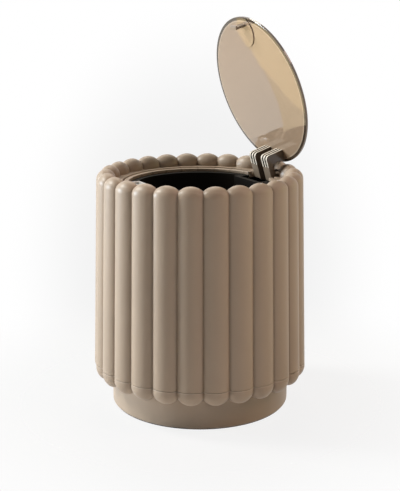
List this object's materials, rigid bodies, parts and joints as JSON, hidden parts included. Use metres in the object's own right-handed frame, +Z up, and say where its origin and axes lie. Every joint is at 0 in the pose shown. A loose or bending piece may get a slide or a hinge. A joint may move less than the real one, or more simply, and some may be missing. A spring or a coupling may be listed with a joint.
{
  "type": "push top countertop bin",
  "caption": "Small round countertop bin with a fluted shell, a smooth plinth, a lift-out bucket and a thin push-to-open lid on two gooseneck hinge arms, shown open.",
  "frame": {"origin": "centre of the face the bin stands on, on the axis of the round body", "axes": "+Z up along the body's axis; the lid's hinge is at the back (+Y) and runs along X; the push latch is at the front (-Y)"},
  "size_m": [0.1434, 0.1442, 0.2574],
  "materials": {
    "taupe_satin": "satin",
    "lid_tinted": "gloss, tinted",
    "taupe_gloss": "gloss",
    "black_plastic": "fine grain",
    "dark_plastic": "fine grain",
    "white_plastic": "gloss",
    "foot_rubber": "matte",
    "steel": "bright"
  },
  "bodies": {
    "bin": {"fluted_shell": "taupe_satin", "base_cap": "taupe_satin", "foot_ring": "foot_rubber", "base_screws": "steel", "inner_bucket": "black_plastic", "collar_ring": "taupe_satin", "collar_screws": "steel", "hinge_bracket": "dark_plastic", "hinge_screws": "steel", "hinge_pin": "steel", "torsion_spring": "steel", "latch_housing": "dark_plastic", "latch_cover": "dark_plastic", "latch_screws": "steel", "latch_spring": "steel"},
    "lid": {"lid_panel": "lid_tinted", "hinge_arm_left": "taupe_gloss", "hinge_arm_right": "taupe_gloss", "striker_pad": "lid_tinted", "striker": "taupe_gloss"},
    "slider": {"latch_slider": "white_plastic", "pawl_pin": "steel"},
    "pawl": {"latch_pawl": "dark_plastic"}
  },
  "joints": [
    {"name": "lid_hinge", "type": "hinge", "parent": "bin", "child": "lid", "pos_m": [0, 0.0585, 0.151], "axis": [1, 0, 0], "range_deg": [0, 73], "stiffness_Nm_per_rad": 0.03, "springref_deg": -34.38},
    {"name": "latch_push", "type": "slide", "parent": "bin", "child": "slider", "axis": [0, 0, 1], "range_m": [-0.0045, 0], "stiffness_N_per_m": 120, "springref_m": 0.003, "deforming": ["latch_spring"]},
    {"name": "pawl_swing", "type": "hinge", "parent": "slider", "child": "pawl", "pos_m": [0, -0.0484, 0.1457], "axis": [1, 0, 0], "range_deg": [-10, 0]}
  ],
  "couplings": [
    {"joint": "pawl_swing", "follows": "latch_push", "rad_per_m": 38.785}
  ]
}
